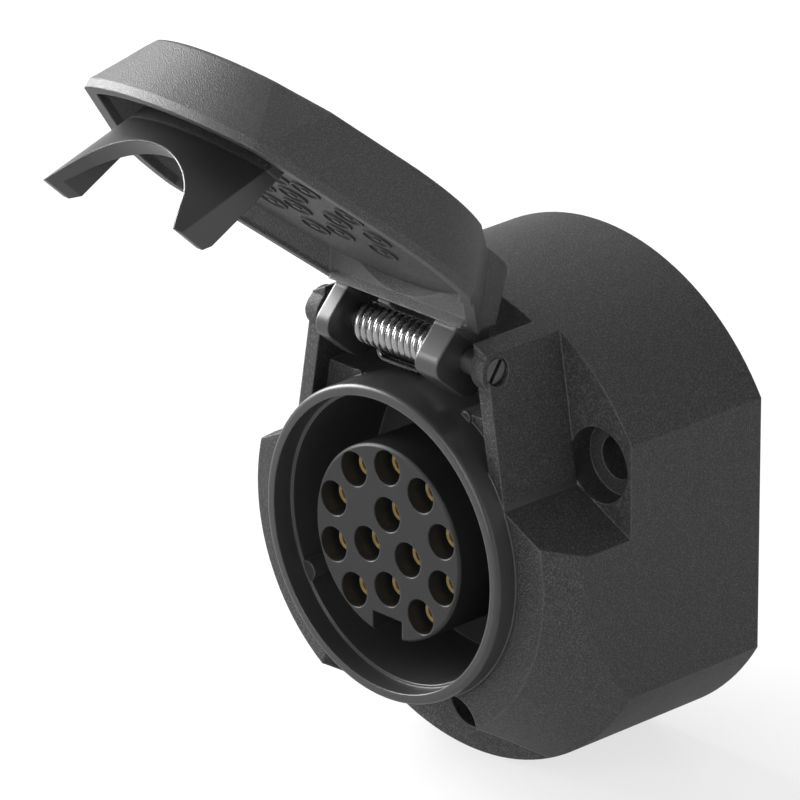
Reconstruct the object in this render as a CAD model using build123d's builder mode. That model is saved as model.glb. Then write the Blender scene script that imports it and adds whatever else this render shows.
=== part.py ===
from build123d import *
from math import atan2, cos, radians, sin, sqrt
import os

# Thirteen-pole trailer socket with a sprung, hinged lid, in millimetres.
# The socket axis runs along Y. The rear mounting plane is Y = 0, the open face
# looks towards -Y and the lid's hinge is at the top. Depths are measured
# forwards from the mounting plane.

# Drum and skirt of the housing
body_r = 41.0
body_half_width = 35.06
flange_depth = 28.7
lip_depth = 44.75
lip_r = 32.1
skirt_depth = 38.4
skirt_r = 35.4
shelf_z = 5.73
shelf_slope = 0.5
wall = 3.0

# Collar that the plug slides into
collar_depth = 48.64
collar_r = 26.05
collar_mouth_r = 24.3
collar_bore_r = 23.8
collar_mouth_length = 3.75
collar_round = 0.8
groove_length = 22.0
floor_thickness = 4.0
lug_r = 1.7
lug_length = 4.0
lug_angles = (90, 210, 330)

# Mounting holes and the recess for the lid's claw
side_hole_x = 28.0
side_hole_z = 16.2
mounting_hole_r = 3.55
side_counterbore_r = 6.2
low_counterbore_r = 4.9
counterbore_length = 4.3
boss_wall = 2.0
recess_half_width = 17.5
recess_top = 22.9
recess_corner_r = 4.9

# Ears that carry the hinge pin, and the pocket between them
hinge_depth = 42.52
hinge_z = 33.24
ear_half_width = 19.76
ear_slope = 0.166
ear_thickness = 2.6
ear_foot_z = 5.0
ear_depth = 44.6
ear_boss_r = 3.3
panel_depth = 41.4
pocket_gap = 2.6
pocket_floor_gap = 1.2
nub_r = 1.0
nub_x = 12.05
nub_z = 23.2

# Hinge pin and spring
pin_r = 2.0
pin_inset = 0.5
pin_slot_width = 0.8
pin_slot_length = 0.9
pin_slot_turn = -35
pin_recess_r = 2.3
pin_recess_length = 0.9
running_fit = 0.05
spring_wire = 1.25
spring_fit = 0.12
spring_gap = 0.34
spring_pitch = 1.41
spring_left = -9.2
spring_turns = 14
spring_foot_length = 9.0
spring_bend_r = 1.2

# Contact insert
insert_r = 16.14
insert_recess = 1.44
insert_fit = 0.1
insert_flange_r = 21.5
insert_flange_thickness = 3.0
insert_rear_length = 2.5
insert_chamfer = 0.4
keyway_half_width = 3.3
keyway_z = -12.44
screw_r = 1.4
screw_length = 6.0
screw_head_r = 2.4
screw_head_length = 1.6
screw_slot_width = 0.6
screw_angles = (60, 180, 300)

# Contacts
ring_places = 10
keyway_angle = 270
contact_ring_r = 12.68
inner_contacts = ((0, 4.76), (4.57, -1.5), (0, -7.91), (-4.57, -1.5))
contact_well_r = 2.9
contact_well_length = 14.0
contact_recess = 3.0
contact_r = 1.95
contact_bore_r = 1.3
contact_slit = 0.5
terminal_r = 2.4
terminal_length = 7.5
wire_bore_r = 1.2
wire_bore_length = 6.0
clamp_screw_r = 0.9
clamp_screw_rise = 0.3

# Rear gasket with the cable sleeve
gasket_thickness = 2.0
gasket_ledge = 1.2
sleeve_r = 9.0
sleeve_bore_r = 6.3
sleeve_length = 6.0

# Lid. "reach" is measured from the hinge axis towards the lid's free end and
# "height" from the hinge axis towards its outer face.
lid_open_angle = 132.6
lid_wall = 2.1
rim_height = 2.72
rim_band = 1.48
lid_height = 14.4
lid_plate = 2.74
rim_back = (16.5, 4.5)
rim_facet = (33.3, 28.6)
rim_side = (33.7, 35.5)
rim_shoulder = (29.2, 50.0)
rim_corner = (19.4, 69.0)
rim_end_corner = (18.4, 70.0)
rim_end_reach = 74.7
top_back = (17.0, 12.2)
top_facet = (27.0, 27.5)
top_side = (29.2, 38.5)
top_shoulder = (27.6, 46.8)
top_corner = (20.5, 60.8)
top_end_corner = (12.5, 67.2)
top_end_reach = 70.3
lid_round = 1.0
rim_step_reach = 24.0
rim_step_height = 3.4
heel_half_width = 14.6
heel_front = ((15.4, 5.2), (14.9, 4.0), (9.5, 1.3), (6.7, 0.0), (4.7, 2.4), (3.7, 4.3))
heel_top = (15.3, 10.1)
heel_ledge = 9.0
heel_back = ((11.66, 11.6), (13.0, 14.0), (13.9, 14.0))
arm_left = (-13.4, -10.7)
arm_right = (8.75, 13.4)
arm_profile = ((5.5, 6.12), (-5.5, 6.12), (-4.9, -5.8), (0.5, -4.6), (6.7, 0.0))
arm_round = 2.6
tab_span = (-4.9, -2.4)
tab_profile = ((4.7, 2.5), (2.6, 2.5), (2.6, 4.9), (4.7, 4.9))
collar_gap = 0.4

# Seal disc inside the lid
seal_r = 25.76
seal_gap = 0.3
seal_thickness = 2.4
seal_ring_r = 2.65
seal_ring_width = 0.32
seal_ring_height = 0.35
seal_dot_r = 0.75
seal_ring_spots = (
    (-12.8, 5.1),
    (-5.9, 3.3),
    (-2.0, -3.0),
    (-0.2, -10.2),
    (5.1, -8.5),
    (-8.2, 11.4),
    (3.2, 2.9),
    (-1.1, 9.3),
    (9.5, -2.0),
    (10.3, 5.0),
    (6.7, 11.4),
    (-9.4, -2.6),
    (-7.8, -9.4),
)
seal_spigot_r = 21.5
seal_fit = 0.05
seal_spigot_wall = 1.5
seal_spigot_length = 1.5
rib_width = 2.0

# Claw at the lid's free end
claw_half_width = 15.3
claw_thickness = 4.6
claw_side_thickness = 1.8
claw_relief = ((-3.5, 62.8), (-14.5, 70.06), (-14.5, 50.0), (-3.5, 50.0))
claw_web_inset = 1.0
claw_bulge = 5.35
claw_root_reach = 56.4
claw_tip_reach = 70.96
claw_floor_gap = 0.6
claw_web = 1.9
claw_foot = 5.6
claw_foot_round = 1.4
mouth_top = -1.65
mouth_shoulder = (10.9, -7.3)
mouth_tip = (14.2, -13.4)

os.makedirs("parts", exist_ok=True)

# Planes and depths worked out from the sizes above
rear = Plane.XZ
collar_outside = collar_r + collar_gap
floor_front = collar_depth - groove_length
floor_rear = floor_front - floor_thickness
insert_front = collar_depth - insert_recess
insert_seat = floor_rear - insert_flange_thickness
insert_rear = insert_seat - insert_rear_length
contact_front = insert_front - contact_recess
well_floor = insert_front - contact_well_length
terminal_rear = insert_rear - terminal_length
screw_ring_r = (insert_r + insert_flange_r) / 2
mount_ring_r = sqrt(side_hole_x**2 + side_hole_z**2)
side_holes = ((side_hole_x, side_hole_z), (-side_hole_x, side_hole_z))
low_hole = ((0, -mount_ring_r),)
arm_sweep_r = max(sqrt(height**2 + reach**2) for height, reach in arm_profile)
pocket_floor = hinge_z - arm_sweep_r - pocket_floor_gap
pocket_depth = hinge_depth - arm_sweep_r - pocket_gap
spring_r = pin_r + spring_fit + spring_wire / 2
contact_spots = list(inner_contacts)
for place in range(ring_places):
    angle = 90 + place * 360 / ring_places
    if angle != keyway_angle:
        contact_spots.append((contact_ring_r * cos(radians(angle)), contact_ring_r * sin(radians(angle))))

screw_spots = []
for angle in screw_angles:
    screw_spots.append((screw_ring_r * cos(radians(angle)), screw_ring_r * sin(radians(angle))))

open_turn = radians(lid_open_angle)
lid_plane = Plane(
    origin=(0, -hinge_depth, hinge_z),
    x_dir=(1, 0, 0),
    z_dir=(0, -cos(open_turn), sin(open_turn)),
)
lid_side = Plane(origin=lid_plane.origin, x_dir=lid_plane.z_dir, z_dir=lid_plane.x_dir)
lid_end = Plane(origin=lid_plane.origin, x_dir=lid_plane.x_dir, z_dir=-lid_plane.y_dir)
hinge_side = Plane(origin=lid_plane.origin, x_dir=(0, -1, 0), z_dir=(1, 0, 0))
plate_inside = lid_height - lid_plate
seal_face = collar_depth - hinge_depth + seal_gap
seal_back = seal_face + seal_thickness
heel_inner = hinge_z - collar_outside
heel_profile = (
    heel_top,
    *heel_front,
    (rim_height, heel_inner),
    (seal_back, heel_inner),
    (seal_back, heel_ledge),
    *heel_back,
)
claw_drop = hinge_depth - flange_depth - claw_floor_gap
claw_lean = (claw_tip_reach - claw_root_reach) / (plate_inside + claw_drop)


def drum_profile(inset):
    """Round drum outline with its two side flats, drawn in by inset."""
    Circle(body_r - inset)
    Rectangle(2 * (body_half_width - inset), 2 * body_r, mode=Mode.INTERSECT)


def holes(spots, radius, mode=Mode.ADD):
    """A circle on each spot."""
    with Locations(*spots):
        Circle(radius, mode=mode)


def hollow_profile(inset):
    """Outline of the housing's hollow back, clear of the bosses round the mounting holes."""
    drum_profile(inset)
    holes(side_holes, side_counterbore_r + boss_wall, Mode.SUBTRACT)
    holes(low_hole, low_counterbore_r + boss_wall, Mode.SUBTRACT)


def ear_outline(shift):
    """Front outline of the ear block, its sides moved in by shift."""
    foot = ear_half_width + ear_slope * (hinge_z - ear_foot_z) - shift
    head = ear_half_width + ear_slope * (hinge_z - body_r) - shift
    Polygon((-foot, ear_foot_z), (foot, ear_foot_z), (head, body_r), (-head, body_r), align=None)


def skirt_form(inset):
    """Flared skirt below the two sloping shelves, drawn in by inset."""
    drop = inset * sqrt(1 + shelf_slope**2)
    side = body_half_width - inset
    with BuildPart() as form:
        with BuildSketch(Plane.YZ):
            with BuildLine():
                Polyline(
                    (-flange_depth + wall, 0),
                    (-lip_depth + inset, 0),
                    (-lip_depth + inset, lip_r - inset),
                    (-skirt_depth, skirt_r - inset),
                    (-flange_depth, body_r - inset),
                    (-flange_depth + wall, body_r - inset),
                    close=True,
                )
            make_face()
        revolve(axis=Axis.Y)
        with BuildSketch(rear):
            Circle(collar_r + inset)
        extrude(amount=collar_depth, mode=Mode.SUBTRACT)
        with BuildSketch(rear):
            with BuildLine():
                Polyline(
                    (-side, -body_r),
                    (side, -body_r),
                    (side, shelf_z - drop),
                    (0, shelf_z - drop + shelf_slope * side),
                    (-side, shelf_z - drop),
                    close=True,
                )
            make_face()
        extrude(amount=collar_depth, mode=Mode.INTERSECT)
    return form.part


def recess_profile(grow):
    """Rounded recess at the bottom of the skirt, widened by grow."""
    height = body_r - recess_top + grow + recess_corner_r
    with Locations((0, -recess_top + grow - height / 2)):
        RectangleRounded(2 * (recess_half_width + grow), height, recess_corner_r)


# Housing

with BuildPart() as skirt_core:
    add(skirt_form(wall))
    with BuildSketch(rear):
        recess_profile(wall)
    extrude(amount=collar_depth, mode=Mode.SUBTRACT)

with BuildPart() as ear_block:
    with BuildSketch(rear.offset(flange_depth)):
        ear_outline(0)
        Circle(body_r, mode=Mode.INTERSECT)
    extrude(amount=ear_depth - flange_depth)
    with BuildSketch(hinge_side.offset(-ear_half_width)):
        Circle(ear_boss_r)
    extrude(amount=2 * ear_half_width)
    with BuildSketch(rear):
        ear_outline(0)
    extrude(amount=collar_depth, mode=Mode.INTERSECT)
    with BuildSketch(rear.offset(pocket_depth)):
        ear_outline(ear_thickness)
        with Locations((0, pocket_floor - body_r)):
            Rectangle(2 * body_r, 2 * body_r, mode=Mode.SUBTRACT)
    extrude(amount=collar_depth, mode=Mode.SUBTRACT)
    with BuildSketch(rear.offset(panel_depth)):
        ear_outline(ear_thickness)
    extrude(amount=collar_depth, mode=Mode.SUBTRACT)

with BuildPart() as rear_core:
    with BuildSketch(rear):
        hollow_profile(wall)
    extrude(amount=flange_depth - wall)
    with BuildSketch(rear.offset(floor_rear)):
        Circle(collar_r)
    extrude(amount=flange_depth, mode=Mode.SUBTRACT)

with BuildPart() as collar:
    with BuildSketch(rear.offset(floor_rear)):
        Circle(collar_r)
    extrude(amount=collar_depth - floor_rear)
    fillet(collar.faces().sort_by(Axis.Y)[0].edges(), collar_round)

with BuildPart() as housing:
    with BuildSketch(rear):
        drum_profile(0)
    extrude(amount=flange_depth)
    add(skirt_form(0))
    with BuildSketch(rear.offset(flange_depth)):
        recess_profile(0)
    extrude(amount=collar_depth, mode=Mode.SUBTRACT)
    add(ear_block.part)
    add(collar.part)
    with BuildSketch(rear.offset(panel_depth)):
        with Locations((nub_x, nub_z), (-nub_x, nub_z)):
            Circle(nub_r)
    extrude(amount=nub_r / 2)
    add(rear_core.part, mode=Mode.SUBTRACT)
    add(skirt_core.part, mode=Mode.SUBTRACT)
    with BuildSketch(rear.offset(floor_front)):
        Circle(collar_bore_r)
    extrude(amount=collar_depth, mode=Mode.SUBTRACT)
    with BuildSketch(rear.offset(collar_depth - collar_mouth_length)):
        Circle(collar_mouth_r)
    extrude(amount=collar_depth, mode=Mode.SUBTRACT)
    with BuildSketch(rear.offset(collar_depth - collar_mouth_length - lug_length)):
        for angle in lug_angles:
            with Locations(Location((0, 0), angle)):
                with Locations((collar_bore_r, 0)):
                    Circle(lug_r)
        Circle((collar_bore_r + collar_r) / 2, mode=Mode.INTERSECT)
    extrude(amount=lug_length)
    with BuildSketch(rear):
        Circle(insert_r + insert_fit)
        holes(side_holes + low_hole, mounting_hole_r)
    extrude(amount=collar_depth, mode=Mode.SUBTRACT)
    with BuildSketch(rear.offset(flange_depth - counterbore_length)):
        holes(side_holes, side_counterbore_r)
        holes(low_hole, low_counterbore_r)
    extrude(amount=counterbore_length, mode=Mode.SUBTRACT)
    with BuildSketch(rear):
        hollow_profile(wall - gasket_ledge)
    extrude(amount=gasket_thickness, mode=Mode.SUBTRACT)
    with BuildSketch(rear.offset(floor_rear)):
        holes(screw_spots, screw_r)
    extrude(amount=screw_length - insert_flange_thickness, mode=Mode.SUBTRACT)
    with BuildSketch(hinge_side):
        Circle(pin_r)
    extrude(amount=body_r, both=True, mode=Mode.SUBTRACT)
    for side in (hinge_side.offset(ear_half_width - pin_recess_length), hinge_side.offset(-ear_half_width - 1)):
        with BuildSketch(side):
            Circle(pin_recess_r)
        extrude(amount=pin_recess_length + 1, mode=Mode.SUBTRACT)


# Contact insert

with BuildPart() as contact_insert:
    with BuildSketch(rear.offset(insert_rear)):
        Circle(insert_r)
    extrude(amount=insert_front - insert_rear)
    chamfer(contact_insert.faces().sort_by(Axis.Y)[0].edges(), insert_chamfer)
    with BuildSketch(rear.offset(insert_seat)):
        Circle(insert_flange_r)
    extrude(amount=insert_flange_thickness)
    with BuildSketch(rear.offset(floor_rear)):
        with Locations((0, keyway_z - insert_r / 2)):
            Rectangle(2 * keyway_half_width, insert_r)
    extrude(amount=insert_front, mode=Mode.SUBTRACT)
    with BuildSketch(rear):
        holes(contact_spots, contact_r)
    extrude(amount=insert_front, mode=Mode.SUBTRACT)
    with BuildSketch(rear.offset(well_floor)):
        holes(contact_spots, contact_well_r)
    extrude(amount=contact_well_length, mode=Mode.SUBTRACT)
    with BuildSketch(rear):
        holes(screw_spots, screw_r)
    extrude(amount=floor_rear, mode=Mode.SUBTRACT)

with BuildPart() as insert_screws:
    with BuildSketch(rear.offset(insert_seat)):
        holes(screw_spots, screw_r)
    extrude(amount=screw_length)
    with BuildSketch(rear.offset(insert_seat - screw_head_length)):
        holes(screw_spots, screw_head_r)
    extrude(amount=screw_head_length)
    with BuildSketch(rear.offset(insert_seat - screw_head_length)):
        with Locations(*screw_spots):
            Rectangle(screw_head_r, screw_slot_width)
            Rectangle(screw_slot_width, screw_head_r)
    extrude(amount=screw_head_length / 2, mode=Mode.SUBTRACT)

# Contacts, each a split sleeve with a clamp terminal behind the insert

clamp_depth = terminal_rear + wire_bore_length / 2
for number, (x, z) in enumerate(contact_spots, start=1):
    turn = atan2(z, x)
    outward = Plane(
        origin=(x, -clamp_depth, z),
        x_dir=(0, 1, 0),
        z_dir=(cos(turn), 0, sin(turn)),
    )
    with BuildPart() as contact:
        with BuildSketch(rear.offset(terminal_rear)):
            holes([(x, z)], contact_r)
        extrude(amount=contact_front - terminal_rear)
        with BuildSketch(rear.offset(terminal_rear)):
            holes([(x, z)], terminal_r)
        extrude(amount=terminal_length)
        with BuildSketch(rear.offset(terminal_rear)):
            holes([(x, z)], wire_bore_r)
        extrude(amount=wire_bore_length, mode=Mode.SUBTRACT)
        with BuildSketch(rear.offset(well_floor)):
            holes([(x, z)], contact_bore_r)
            with Locations((x, z)):
                Rectangle(contact_slit, 3 * contact_r)
        extrude(amount=contact_well_length, mode=Mode.SUBTRACT)
        with BuildSketch(outward):
            Circle(clamp_screw_r)
        extrude(amount=2 * terminal_r, mode=Mode.SUBTRACT)
    name = f"contact_{number:02d}"
    contact.part.label = name
    export_step(contact.part, f"parts/{name}.step")

with BuildPart() as terminal_screws:
    for x, z in contact_spots:
        turn = atan2(z, x)
        outward = Plane(
            origin=(x, -clamp_depth, z),
            x_dir=(0, 1, 0),
            z_dir=(cos(turn), 0, sin(turn)),
        )
        with BuildSketch(outward.offset(wire_bore_r)):
            Circle(clamp_screw_r)
        extrude(amount=terminal_r + clamp_screw_rise - wire_bore_r)

# Rear gasket

with BuildPart() as rear_gasket:
    with BuildSketch(rear):
        hollow_profile(wall - gasket_ledge)
    extrude(amount=gasket_thickness)
    with BuildSketch(rear):
        Circle(sleeve_r)
    extrude(amount=sleeve_length)
    with BuildSketch(rear):
        Circle(sleeve_bore_r)
    extrude(amount=sleeve_length, mode=Mode.SUBTRACT)

# Hinge pin and spring

with BuildPart() as hinge_pin:
    with BuildSketch(hinge_side.offset(pin_inset - ear_half_width)):
        Circle(pin_r)
    extrude(amount=2 * (ear_half_width - pin_inset))
    with BuildSketch(hinge_side.offset(ear_half_width - pin_inset - pin_slot_length)):
        Rectangle(pin_slot_width, 3 * pin_r, rotation=pin_slot_turn)
    extrude(amount=pin_slot_length, mode=Mode.SUBTRACT)

with BuildPart() as spring_coil:
    with BuildLine():
        turns = Helix(pitch=spring_pitch, height=spring_turns * spring_pitch, radius=spring_r)
    with BuildSketch(Plane(origin=turns @ 0, z_dir=turns % 0)):
        Circle(spring_wire / 2)
    sweep(is_frenet=True)

coil_plane = Plane(origin=(spring_left, -hinge_depth, hinge_z), x_dir=(0, 1, 0), z_dir=(1, 0, 0))
with BuildPart() as lid_spring:
    add(spring_coil.part.moved(coil_plane.location))
    with BuildLine():
        foot_z = max(pocket_floor, collar_r) + spring_wire / 2
        leg_top = coil_plane.origin + coil_plane.x_dir * spring_r
        leg_foot = (leg_top.X, leg_top.Y, foot_z)
        foot_end = (leg_top.X + spring_foot_length, leg_top.Y, foot_z)
        leg = FilletPolyline(leg_top, leg_foot, foot_end, radius=spring_bend_r)
    with BuildSketch(Plane(origin=leg @ 0, z_dir=leg % 0)):
        Circle(spring_wire / 2)
    sweep(path=leg)

# Lid


def lid_form(inset, top):
    """Lid block between its rim and its outer outline, drawn in by inset and cut off at top."""
    rim = (rim_back, rim_facet, rim_side, rim_shoulder, rim_corner, rim_end_corner)
    crown = (top_back, top_facet, top_side, top_shoulder, top_corner, top_end_corner)
    faces = []
    levels = (
        (rim_height, rim, rim_end_reach),
        (rim_height + rim_band, rim, rim_end_reach),
        (lid_height, crown, top_end_reach),
    )
    for height, points, end_reach in levels:
        with BuildSketch(lid_plane.offset(height)) as outline:
            with BuildLine():
                for side in (1, -1):
                    back, facet, widest, *front = [(side * x, -reach) for x, reach in points]
                    Line(back, facet)
                    ThreePointArc(facet, widest, front[0])
                    Polyline(*front)
                Line(back, (-back[0], back[1]))
                ThreePointArc(front[-1], (0, -end_reach), (-front[-1][0], front[-1][1]))
            make_face()
            if inset:
                offset(amount=-inset, kind=Kind.INTERSECTION, mode=Mode.REPLACE)
        faces.append(outline.sketch)
    with BuildPart() as form:
        loft(faces, ruled=True)
        split(bisect_by=lid_plane.offset(top), keep=Keep.BOTTOM)
    return form.part


def side_slab(profile, left, right, corner_round=0):
    """A slab from left to right with its side profile given as (height, reach) points."""
    with BuildPart() as slab:
        with BuildSketch(lid_side.offset(left)):
            with BuildLine():
                if corner_round:
                    FilletPolyline(*profile, radius=corner_round, close=True)
                else:
                    Polyline(*profile, close=True)
            make_face()
        extrude(amount=right - left)
    return slab.part


with BuildPart() as claw:
    with BuildSketch(lid_plane.offset(plate_inside)):
        with BuildLine():
            front = -claw_root_reach
            back = front + claw_side_thickness
            inner = front - claw_bulge + claw_thickness
            ThreePointArc((-claw_half_width, front), (0, front - claw_bulge), (claw_half_width, front))
            Line((claw_half_width, front), (claw_half_width, back))
            ThreePointArc((claw_half_width, back), (0, inner), (-claw_half_width, back))
            Line((-claw_half_width, back), (-claw_half_width, front))
        make_face()
    extrude(
        amount=(plate_inside + claw_drop) * sqrt(1 + claw_lean**2),
        dir=-lid_plane.z_dir - lid_plane.y_dir * claw_lean,
    )
    add(side_slab(claw_relief, -body_r, body_r), mode=Mode.SUBTRACT)
    web = (
        (plate_inside, claw_root_reach - claw_web_inset),
        (-claw_drop, claw_tip_reach - claw_web_inset),
        (-claw_drop, claw_tip_reach - claw_foot),
        (claw_foot_round - claw_drop, claw_tip_reach - claw_foot - claw_foot_round),
    )
    add(side_slab(web, claw_half_width - claw_web, claw_half_width))
    add(side_slab(web, -claw_half_width, claw_web - claw_half_width))
    with BuildSketch(lid_end.offset(claw_root_reach)):
        with BuildLine():
            x, y = mouth_shoulder
            tip_x, tip_y = mouth_tip
            ThreePointArc((-x, y), (0, mouth_top), (x, y))
            Polyline((x, y), (tip_x, tip_y), (tip_x, 2 * tip_y), (-tip_x, 2 * tip_y), (-tip_x, tip_y), (-x, y))
        make_face()
    extrude(amount=2 * claw_tip_reach, mode=Mode.SUBTRACT)

with BuildPart() as lid:
    add(lid_form(0, lid_height))
    fillet(lid.faces().sort_by(Axis(lid_plane.origin, lid_plane.z_dir))[-1].edges(), lid_round)
    with BuildSketch(lid_plane):
        with Locations((0, body_r - rim_step_reach)):
            Rectangle(2 * body_r, 2 * body_r)
    extrude(amount=rim_step_height, mode=Mode.SUBTRACT)
    add(lid_form(lid_wall, plate_inside), mode=Mode.SUBTRACT)
    with BuildSketch(lid_plane):
        with Locations((0, body_r - heel_inner)):
            Rectangle(2 * heel_half_width, 2 * body_r)
    extrude(amount=2 * lid_height, mode=Mode.SUBTRACT)
    add(side_slab(heel_profile, -heel_half_width, heel_half_width))
    add(side_slab(arm_profile, *arm_left, arm_round))
    add(side_slab(arm_profile, *arm_right, arm_round))
    add(side_slab(tab_profile, *tab_span))
    with BuildSketch(lid_plane.offset(seal_back)):
        with Locations((0, -hinge_z)):
            Circle(seal_spigot_r + rib_width)
            Circle(seal_spigot_r, mode=Mode.SUBTRACT)
    extrude(amount=plate_inside - seal_back)
    add(claw.part)
    with BuildSketch(lid_plane.offset(-lid_height)):
        with Locations((0, -hinge_z)):
            Circle(collar_outside)
    extrude(amount=lid_height + seal_back, mode=Mode.SUBTRACT)
    with BuildSketch(lid_side):
        Circle(pin_r + running_fit)
    extrude(amount=body_r, both=True, mode=Mode.SUBTRACT)
    with BuildSketch(lid_side):
        Circle(spring_r + spring_wire / 2 + spring_gap)
    extrude(amount=spring_left + spring_turns * spring_pitch + spring_wire + spring_gap, mode=Mode.SUBTRACT)

with BuildPart() as lid_seal:
    with BuildSketch(lid_plane.offset(seal_face)):
        with Locations((0, -hinge_z)):
            Circle(seal_r)
    extrude(amount=seal_thickness)
    with BuildSketch(lid_plane.offset(seal_back)):
        with Locations((0, -hinge_z)):
            Circle(seal_spigot_r - seal_fit)
            Circle(seal_spigot_r - seal_spigot_wall, mode=Mode.SUBTRACT)
    extrude(amount=seal_spigot_length)
    with BuildSketch(lid_plane.offset(seal_face - seal_ring_height)):
        with Locations(*[(x, z - hinge_z) for x, z in seal_ring_spots]):
            Circle(seal_ring_r)
            Circle(seal_ring_r - seal_ring_width, mode=Mode.SUBTRACT)
            Circle(seal_dot_r)
    extrude(amount=seal_ring_height)

pieces = {
    "housing": housing,
    "contact_insert": contact_insert,
    "insert_screws": insert_screws,
    "terminal_screws": terminal_screws,
    "rear_gasket": rear_gasket,
    "hinge_pin": hinge_pin,
    "lid_spring": lid_spring,
    "lid": lid,
    "lid_seal": lid_seal,
}
for name, piece in pieces.items():
    piece.part.label = name
    export_step(piece.part, f"parts/{name}.step")
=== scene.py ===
import math

import bpy
from mathutils import Matrix, Vector

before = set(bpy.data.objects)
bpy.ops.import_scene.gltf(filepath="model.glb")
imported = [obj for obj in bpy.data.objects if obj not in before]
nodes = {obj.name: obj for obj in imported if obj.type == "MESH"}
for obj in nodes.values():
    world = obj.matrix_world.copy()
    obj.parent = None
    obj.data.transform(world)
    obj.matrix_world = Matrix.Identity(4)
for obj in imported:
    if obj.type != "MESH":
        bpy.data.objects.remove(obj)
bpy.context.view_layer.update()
scene = bpy.context.scene

# Lid at rest: the hinge axis, and the angle from closed to open
HINGE = Vector((0.0, -0.04252, 0.03324))
OPEN_TURN = math.radians(132.6)

# Where the grain and the spring's painted shade begin and end, in metres
COLLAR_REACH = (0.0262, 0.0266)
LID_RIM_HEIGHT = (0.0022, 0.0026)
COIL_HEIGHT = (0.0287, 0.0297)

# Texture of the moulded plastic: scales in cells per metre, depths and radii in metres
GRAIN_SCALE = 6400.0
PIT_SCALE = 4600.0
SPECK_SCALE = 3400.0
SCUFF_SCALE = 900.0
RIPPLE_SCALE = 350.0
CLOUD_SCALE = 60.0
GRAIN_DEPTH = 0.00009
RIPPLE_DEPTH = 0.000012
EDGE_RADIUS = 0.00045
# Width of the painted highlight, patchy like wear, on the edges
WEAR_AND_HIGHLIGHT_RADIUS = 0.0005

# Texture of the metal and the rubber, in the same units
DRAWING_SCALE = 1800.0
TARNISH_SCALE = 220.0
DRAWING_DEPTH = 0.00001
RUBBER_GRAIN_SCALE = 1500.0
RUBBER_CLOUD_SCALE = 90.0
RUBBER_GRAIN_DEPTH = 0.00003
RUBBER_EDGE_RADIUS = 0.0002

# Tints, each times a level
COOL_BLACK = (1.0, 1.0, 1.02)
NEUTRAL = (1.0, 1.0, 1.0)
WARM_STEEL = (1.0, 0.99, 0.96)
BRASS = (1.0, 0.76, 0.36)

# Studio: lengths in metres, lamp power in watts
FLOOR_DROP = 0.0411
FLOOR_SIZE = 6.0
FLOOR_LEVEL = 0.88
FLOOR_GLOW_SHARE = 0.72
FLOOR_GLOW_IN_GLOSS = 0.5
WORLD_FILL = 0.3
LAMP_TARGET = (0.0, -0.04, 0.02)
LAMPS = (
    ("left_box", (-0.91, -0.25, 0.4), 0.7, 0.6, 25.0),
    ("back_box", (-0.25, 0.8, 0.9), 0.6, 0.5, 2.0),
    ("front_box", (0.2, -1.2, 0.5), 0.8, 0.8, 7.0),
    ("right_box", (1.2, 0.0, 0.3), 0.5, 0.8, 2.0),
)

# Camera, fitted to the photograph
CAMERA_PLACE = (0.8972, -0.9082, 0.5392)
CAMERA_AZIMUTH = math.radians(46.084)
CAMERA_ELEVATION = math.radians(22.501)
CAMERA_ROLL = math.radians(-0.126)
LENS_MM = 391.4
SENSOR_MM = 36.0


def grey(level, tint=NEUTRAL):
    return (level * tint[0], level * tint[1], level * tint[2], 1.0)


# Materials


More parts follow.
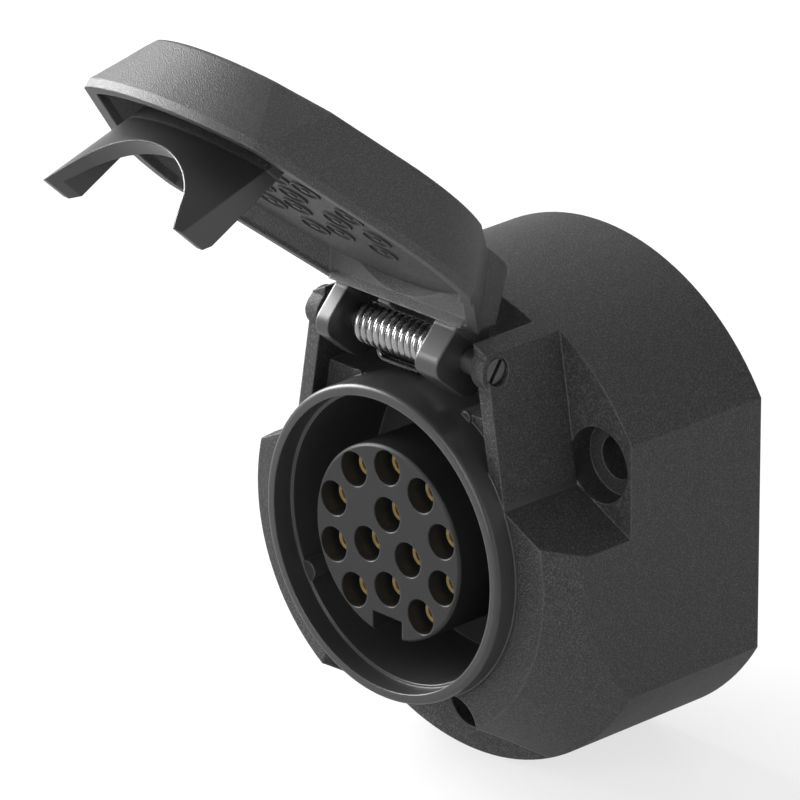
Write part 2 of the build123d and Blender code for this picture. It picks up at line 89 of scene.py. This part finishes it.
class Graph:
    """A material's node tree, with short calls for the nodes that it uses."""

    def __init__(self, name):
        self.material = bpy.data.materials.new(name)
        self.material.use_nodes = True
        self.tree = self.material.node_tree
        self.tree.nodes.clear()
        self.out = self.tree.nodes.new("ShaderNodeOutputMaterial")
        self.shader = self.tree.nodes.new("ShaderNodeBsdfPrincipled")
        self.tree.links.new(self.shader.outputs[0], self.out.inputs[0])
        self.place = self.tree.nodes.new("ShaderNodeTexCoord").outputs["Object"]

    def link(self, source, target):
        """Joins an output to a socket, or writes a plain value on the socket."""
        if isinstance(source, (int, float, tuple)):
            target.default_value = source
        else:
            self.tree.links.new(source, target)

    def set(self, **values):
        """Sets or links the shader's sockets by name, with _ for a space."""
        for name, value in values.items():
            self.link(value, self.shader.inputs[name.replace("_", " ")])

    def noise(self, scale, detail, roughness, stretch=None):
        node = self.tree.nodes.new("ShaderNodeTexNoise")
        node.inputs["Scale"].default_value = scale
        node.inputs["Detail"].default_value = detail
        node.inputs["Roughness"].default_value = roughness
        self.link(self.scaled(stretch) if stretch else self.place, node.inputs["Vector"])
        return node.outputs["Fac"]

    def scaled(self, factors):
        node = self.tree.nodes.new("ShaderNodeMapping")
        node.inputs["Scale"].default_value = factors
        self.link(self.place, node.inputs["Vector"])
        return node.outputs["Vector"]

    def cells(self, scale):
        node = self.tree.nodes.new("ShaderNodeTexVoronoi")
        node.inputs["Scale"].default_value = scale
        self.link(self.place, node.inputs["Vector"])
        return node.outputs["Distance"]

    def span(self, value, low, high, to_low=0.0, to_high=1.0):
        """Maps low..high to to_low..to_high, and holds the ends."""
        node = self.tree.nodes.new("ShaderNodeMapRange")
        self.link(value, node.inputs["Value"])
        node.inputs["From Min"].default_value = low
        node.inputs["From Max"].default_value = high
        node.inputs["To Min"].default_value = to_low
        node.inputs["To Max"].default_value = to_high
        return node.outputs["Result"]

    def math(self, operation, a, b=0.0):
        node = self.tree.nodes.new("ShaderNodeMath")
        node.operation = operation
        self.link(a, node.inputs[0])
        self.link(b, node.inputs[1])
        return node.outputs[0]

    def mix(self, factor, low, high):
        """Mixes two colours."""
        node = self.tree.nodes.new("ShaderNodeMix")
        node.data_type = "RGBA"
        self.link(factor, node.inputs[0])
        self.link(low, node.inputs[6])
        self.link(high, node.inputs[7])
        return node.outputs[2]

    def along(self, direction, origin=(0, 0, 0)):
        """Distance of the point along a direction, in metres."""
        node = self.tree.nodes.new("ShaderNodeVectorMath")
        node.operation = "DOT_PRODUCT"
        self.link(self.place, node.inputs[0])
        node.inputs[1].default_value = direction
        offset = Vector(direction).dot(Vector(origin))
        return self.math("SUBTRACT", node.outputs["Value"], offset)

    def rounded(self, radius):
        """The normal with its edges rounded by radius."""
        node = self.tree.nodes.new("ShaderNodeBevel")
        node.samples = 8
        node.inputs["Radius"].default_value = radius
        return node.outputs[0]

    def edge(self, radius):
        """How far the surface lies on a rounded edge, from 0 to about 1."""
        shape = self.tree.nodes.new("ShaderNodeNewGeometry")
        dot = self.tree.nodes.new("ShaderNodeVectorMath")
        dot.operation = "DOT_PRODUCT"
        self.link(self.rounded(radius), dot.inputs[0])
        self.link(shape.outputs["Normal"], dot.inputs[1])
        return self.span(dot.outputs["Value"], 1.0, 0.8)

    def bump(self, heights, radius=0.0):
        """Chains the (height, distance) pairs into one normal, on edges rounded by radius."""
        normal = self.rounded(radius) if radius else None
        for height, distance in heights:
            node = self.tree.nodes.new("ShaderNodeBump")
            node.inputs["Distance"].default_value = distance
            self.link(height, node.inputs["Height"])
            if normal:
                self.link(normal, node.inputs["Normal"])
            normal = node.outputs[0]
        self.set(Normal=normal)


def moulded(name, level, grain_mask=None, smooth=1.2, smooth_rough=0.36, specular=0.5):
    """Black moulded plastic: fine spark-eroded grain where grain_mask says, satin elsewhere."""
    g = Graph(name)
    mask = grain_mask(g) if grain_mask else 0.0
    fine = g.noise(GRAIN_SCALE, 2.0, 0.5)
    pits = g.cells(PIT_SCALE)
    specks = g.noise(SPECK_SCALE, 1.0, 0.5)
    cloud = g.noise(CLOUD_SCALE, 3.0, 0.55)
    scuff = g.noise(SCUFF_SCALE, 4.0, 0.7, stretch=(1.0, 1.0, 0.25))
    ripple = g.noise(RIPPLE_SCALE, 2.0, 0.5)
    # Mask of the lighter, smoother edges: a painted highlight, broken up by scuff noise like
    # wear
    wear_and_painted_highlight = g.math("MULTIPLY", g.edge(WEAR_AND_HIGHLIGHT_RADIUS), g.span(scuff, 0.35, 0.65, 0.35, 1.0))

    tone = g.span(cloud, 0.3, 0.7)
    grained = g.mix(tone, grey(level * 0.74, COOL_BLACK), grey(level * 0.92, COOL_BLACK))
    base = g.mix(mask, grey(level * smooth, COOL_BLACK), grained)
    speck = g.math("MULTIPLY", g.span(specks, 0.45, 0.7), g.math("MULTIPLY", mask, 0.75))
    base = g.mix(speck, base, grey(level * 3.2, COOL_BLACK))
    # Edges lightened towards a pale grey: painted highlight, patchy like wear
    base = g.mix(g.math("MULTIPLY", wear_and_painted_highlight, 0.7), base, grey(level * 4.5, COOL_BLACK))

    rough = g.span(mask, 0.0, 1.0, smooth_rough, 0.5)
    rough = g.math("ADD", rough, g.span(cloud, 0.3, 0.7, -0.03, 0.03))
    rough = g.math("SUBTRACT", rough, g.math("MULTIPLY", wear_and_painted_highlight, 0.12))
    g.set(Base_Color=base, Roughness=rough, Specular_IOR_Level=specular)
    grain = g.math("MULTIPLY", g.math("ADD", fine, g.math("MULTIPLY", pits, 0.6)), mask)
    g.bump([(ripple, RIPPLE_DEPTH), (grain, GRAIN_DEPTH)], radius=EDGE_RADIUS)
    return g.material


def housing_mask(g):
    """Grain on the drum and skirt, none on the collar and inside it."""
    x = g.along((1, 0, 0))
    z = g.along((0, 0, 1))
    radius = g.math("SQRT", g.math("ADD", g.math("MULTIPLY", x, x), g.math("MULTIPLY", z, z)))
    return g.span(radius, *COLLAR_REACH)


def lid_mask(g):
    """Grain on the lid's outside, none on its rim, the claw and the arms."""
    outward = (0.0, -math.cos(OPEN_TURN), math.sin(OPEN_TURN))
    return g.span(g.along(outward, HINGE), *LID_RIM_HEIGHT)


def spring_painted_shade(g):
    """Painted shade: full colour on the coils, dimmed on the leg that lies in the pocket's
    shade.
    """
    return g.span(g.along((0, 0, 1)), *COIL_HEIGHT, 0.3, 1.0)


def metal(name, level, tint, rough, depth=DRAWING_DEPTH, shade=None):
    """Bare metal with faint drawing marks, darker where it is tarnished, and darkened by
    painted shade where a shade mask is given.
    """
    g = Graph(name)
    cloud = g.noise(TARNISH_SCALE, 4.0, 0.6)
    marks = g.noise(DRAWING_SCALE, 3.0, 0.6)
    base = g.mix(g.span(cloud, 0.35, 0.7), grey(level * 0.72, tint), grey(level, tint))
    if shade:
        # Painted shade: colour darkened towards black where the shade mask is low
        base = g.mix(shade(g), grey(0.0), base)
    marked_rough = g.span(marks, 0.3, 0.7, rough - 0.06, rough + 0.08)
    tarnish_rough = g.span(cloud, 0.3, 0.7, 0.06, 0.0)
    g.set(Base_Color=base, Metallic=1.0, Roughness=g.math("ADD", marked_rough, tarnish_rough))
    g.bump([(marks, depth)])
    return g.material


def rubber(name, level):
    """Dull rubber or soft plastic with a fine grain."""
    g = Graph(name)
    fine = g.noise(RUBBER_GRAIN_SCALE, 3.0, 0.6)
    cloud = g.noise(RUBBER_CLOUD_SCALE, 3.0, 0.6)
    base = g.mix(g.span(cloud, 0.3, 0.7), grey(level * 0.85), grey(level * 1.15))
    g.set(Base_Color=base, Roughness=g.span(fine, 0.3, 0.7, 0.5, 0.64))
    g.bump([(fine, RUBBER_GRAIN_DEPTH)], radius=RUBBER_EDGE_RADIUS)
    return g.material


looks = {
    "housing": moulded("housing_plastic", 0.026, housing_mask, smooth=1.45, specular=0.46),
    "lid": moulded("lid_plastic", 0.02, lid_mask, smooth=1.1, specular=1.0),
    "contact_insert": moulded("insert_plastic", 0.014, smooth_rough=0.46, specular=0.35),
    "lid_seal": rubber("seal_rubber", 0.033),
    "rear_gasket": rubber("gasket_rubber", 0.028),
    "hinge_pin": metal("pin_steel", 0.22, NEUTRAL, 0.42),
    "lid_spring": metal("spring_steel", 0.55, NEUTRAL, 0.2, depth=0.000001, shade=spring_painted_shade),
    "insert_screws": metal("screw_steel", 0.55, WARM_STEEL, 0.34),
    "terminal_screws": metal("terminal_steel", 0.55, WARM_STEEL, 0.34),
}
brass = metal("contact_brass", 1.0, BRASS, 0.5)
for name, piece in nodes.items():
    piece.data.materials.clear()
    piece.data.materials.append(looks.get(name, brass))

# Floor: pale for the lamps, so that it keeps the shadow, and near white for the camera

bpy.ops.mesh.primitive_plane_add(size=FLOOR_SIZE, location=(0, 0, -FLOOR_DROP))
floor = bpy.context.object
floor.name = "floor"
g = Graph("floor_white")
paths = g.tree.nodes.new("ShaderNodeLightPath")
seen = g.math("MAXIMUM", paths.outputs["Is Camera Ray"], paths.outputs["Is Glossy Ray"])
seen = g.math("MAXIMUM", seen, paths.outputs["Is Transmission Ray"])
paint = g.tree.nodes.new("ShaderNodeBsdfDiffuse")
paint.inputs["Color"].default_value = grey(FLOOR_LEVEL)
glow = g.tree.nodes.new("ShaderNodeEmission")
glow_level = g.span(paths.outputs["Is Glossy Ray"], 0.0, 1.0, 1.0, FLOOR_GLOW_IN_GLOSS)
g.link(glow_level, glow.inputs["Strength"])
blend = g.tree.nodes.new("ShaderNodeMixShader")
g.link(g.math("MULTIPLY", seen, FLOOR_GLOW_SHARE), blend.inputs[0])
g.link(paint.outputs[0], blend.inputs[1])
g.link(glow.outputs[0], blend.inputs[2])
g.link(blend.outputs[0], g.out.inputs[0])
floor.data.materials.append(g.material)

# World: white for the camera, a soft fill for the object

world = bpy.data.worlds.new("studio")
scene.world = world
world.use_nodes = True
tree = world.node_tree
tree.nodes.clear()


def backdrop(strength):
    node = tree.nodes.new("ShaderNodeBackground")
    node.inputs["Color"].default_value = grey(1.0)
    node.inputs["Strength"].default_value = strength
    return node.outputs[0]


paths = tree.nodes.new("ShaderNodeLightPath")
seen = tree.nodes.new("ShaderNodeMath")
seen.operation = "MAXIMUM"
tree.links.new(paths.outputs["Is Camera Ray"], seen.inputs[0])
tree.links.new(paths.outputs["Is Transmission Ray"], seen.inputs[1])
blend = tree.nodes.new("ShaderNodeMixShader")
tree.links.new(seen.outputs[0], blend.inputs[0])
tree.links.new(backdrop(WORLD_FILL), blend.inputs[1])
tree.links.new(backdrop(1.0), blend.inputs[2])
out = tree.nodes.new("ShaderNodeOutputWorld")
tree.links.new(blend.outputs[0], out.inputs[0])

# Lamps

for name, place, width, height, power in LAMPS:
    data = bpy.data.lights.new(name, "AREA")
    data.shape = "RECTANGLE"
    data.size = width
    data.size_y = height
    data.energy = power
    lamp = bpy.data.objects.new(name, data)
    scene.collection.objects.link(lamp)
    lamp.location = place
    aim = Vector(LAMP_TARGET) - Vector(place)
    lamp.rotation_euler = aim.to_track_quat("-Z", "Y").to_euler()

# Camera

back = Vector((
    math.sin(CAMERA_AZIMUTH) * math.cos(CAMERA_ELEVATION),
    -math.cos(CAMERA_AZIMUTH) * math.cos(CAMERA_ELEVATION),
    math.sin(CAMERA_ELEVATION),
))
right = Vector((math.cos(CAMERA_AZIMUTH), math.sin(CAMERA_AZIMUTH), 0.0))
up = back.cross(right)
turned_right = right * math.cos(CAMERA_ROLL) + up * math.sin(CAMERA_ROLL)
turned_up = up * math.cos(CAMERA_ROLL) - right * math.sin(CAMERA_ROLL)
camera_data = bpy.data.cameras.new("camera")
camera_data.sensor_width = SENSOR_MM
camera_data.lens = LENS_MM
camera_data.clip_end = 20.0
camera = bpy.data.objects.new("camera", camera_data)
scene.collection.objects.link(camera)
camera.matrix_world = Matrix((
    (turned_right.x, turned_up.x, back.x, CAMERA_PLACE[0]),
    (turned_right.y, turned_up.y, back.y, CAMERA_PLACE[1]),
    (turned_right.z, turned_up.z, back.z, CAMERA_PLACE[2]),
    (0.0, 0.0, 0.0, 1.0),
))
scene.camera = camera
scene.view_settings.view_transform = "Standard"
